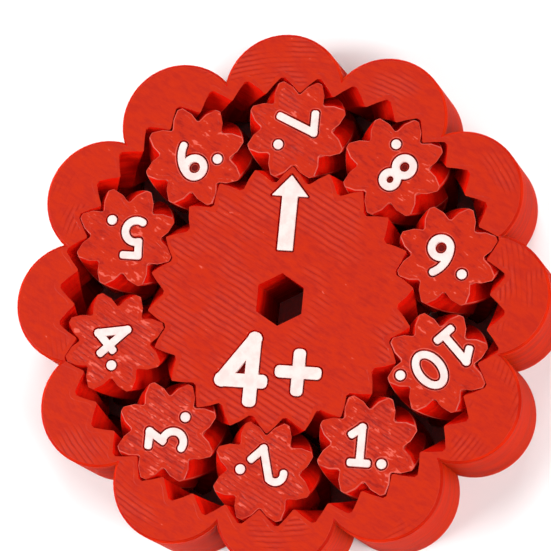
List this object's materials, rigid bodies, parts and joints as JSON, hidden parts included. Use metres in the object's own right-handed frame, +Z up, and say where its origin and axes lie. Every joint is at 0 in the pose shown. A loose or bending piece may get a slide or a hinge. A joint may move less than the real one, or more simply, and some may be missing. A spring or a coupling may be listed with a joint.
{
  "type": "number spinner",
  "caption": "Flat red number spinner: scalloped ring with internal V teeth, floating numbered planet gears and a sun gear with an arrow and a hexagonal socket.",
  "frame": {"origin": "centre of the bottom face, on the common axis of the ring and the sun gear", "axes": "+Z up out of the numbered face, +Y through the middle of one scallop, on the side that the arrow points to at rest"},
  "size_m": [0.0784, 0.0784, 0.015],
  "materials": {
    "ring_red": "printed red plastic, fine concentric extrusion lines on top and layer lines on the walls",
    "sun_red": "printed red plastic, diagonal extrusion lines on top",
    "planet_red": "printed red plastic, uneven glossy top",
    "mark_white": "smooth white plastic"
  },
  "bodies": {
    "ring": {"ring_gear": "ring_red"},
    "sun": {"sun_gear": "sun_red", "arrow_inlay": "mark_white", "four_plus_inlay": "mark_white"},
    "orbit": {"sun_core": "sun_red"},
    "planet_1": {"planet_gear_1": "planet_red", "number_1_inlay": "mark_white"},
    "planet_2": {"planet_gear_2": "planet_red", "number_2_inlay": "mark_white"},
    "planet_3": {"planet_gear_3": "planet_red", "number_3_inlay": "mark_white"},
    "planet_4": {"planet_gear_4": "planet_red", "number_4_inlay": "mark_white"},
    "planet_5": {"planet_gear_5": "planet_red", "number_5_inlay": "mark_white"},
    "planet_6": {"planet_gear_6": "planet_red", "number_6_inlay": "mark_white"},
    "planet_7": {"planet_gear_7": "planet_red", "number_7_inlay": "mark_white"},
    "planet_8": {"planet_gear_8": "planet_red", "number_8_inlay": "mark_white"},
    "planet_9": {"planet_gear_9": "planet_red", "number_9_inlay": "mark_white"},
    "planet_10": {"planet_gear_10": "planet_red", "number_10_inlay": "mark_white"}
  },
  "joints": [
    {"name": "sun_spin", "type": "hinge", "parent": "ring", "child": "sun", "pos_m": [0, 0, 0.0075], "axis": [0, 0, 1], "continuous": true},
    {"name": "planets_orbit", "type": "hinge", "parent": "ring", "child": "orbit", "pos_m": [0, 0, 0.0075], "axis": [0, 0, 1], "continuous": true},
    {"name": "planet_1_spin", "type": "hinge", "parent": "orbit", "child": "planet_1", "pos_m": [0.01306, -0.02132, 0.0075], "axis": [0, 0, 1], "continuous": true},
    {"name": "planet_2_spin", "type": "hinge", "parent": "orbit", "child": "planet_2", "pos_m": [-0.00196, -0.02492, 0.0075], "axis": [0, 0, 1], "continuous": true},
    {"name": "planet_3_spin", "type": "hinge", "parent": "orbit", "child": "planet_3", "pos_m": [-0.01624, -0.01901, 0.0075], "axis": [0, 0, 1], "continuous": true},
    {"name": "planet_4_spin", "type": "hinge", "parent": "orbit", "child": "planet_4", "pos_m": [-0.02431, -0.00584, 0.0075], "axis": [0, 0, 1], "continuous": true},
    {"name": "planet_5_spin", "type": "hinge", "parent": "orbit", "child": "planet_5", "pos_m": [-0.0231, 0.00957, 0.0075], "axis": [0, 0, 1], "continuous": true},
    {"name": "planet_6_spin", "type": "hinge", "parent": "orbit", "child": "planet_6", "pos_m": [-0.01306, 0.02132, 0.0075], "axis": [0, 0, 1], "continuous": true},
    {"name": "planet_7_spin", "type": "hinge", "parent": "orbit", "child": "planet_7", "pos_m": [0.00196, 0.02492, 0.0075], "axis": [0, 0, 1], "continuous": true},
    {"name": "planet_8_spin", "type": "hinge", "parent": "orbit", "child": "planet_8", "pos_m": [0.01624, 0.01901, 0.0075], "axis": [0, 0, 1], "continuous": true},
    {"name": "planet_9_spin", "type": "hinge", "parent": "orbit", "child": "planet_9", "pos_m": [0.02431, 0.00584, 0.0075], "axis": [0, 0, 1], "continuous": true},
    {"name": "planet_10_spin", "type": "hinge", "parent": "orbit", "child": "planet_10", "pos_m": [0.0231, -0.00957, 0.0075], "axis": [0, 0, 1], "continuous": true}
  ],
  "couplings": [
    {"joint": "planets_orbit", "follows": "sun_spin", "ratio": 0.36667},
    {"joint": "planet_1_spin", "follows": "sun_spin", "ratio": -1.7417},
    {"joint": "planet_2_spin", "follows": "sun_spin", "ratio": -1.7417},
    {"joint": "planet_3_spin", "follows": "sun_spin", "ratio": -1.7417},
    {"joint": "planet_4_spin", "follows": "sun_spin", "ratio": -1.7417},
    {"joint": "planet_5_spin", "follows": "sun_spin", "ratio": -1.7417},
    {"joint": "planet_6_spin", "follows": "sun_spin", "ratio": -1.7417},
    {"joint": "planet_7_spin", "follows": "sun_spin", "ratio": -1.7417},
    {"joint": "planet_8_spin", "follows": "sun_spin", "ratio": -1.7417},
    {"joint": "planet_9_spin", "follows": "sun_spin", "ratio": -1.7417},
    {"joint": "planet_10_spin", "follows": "sun_spin", "ratio": -1.7417}
  ]
}
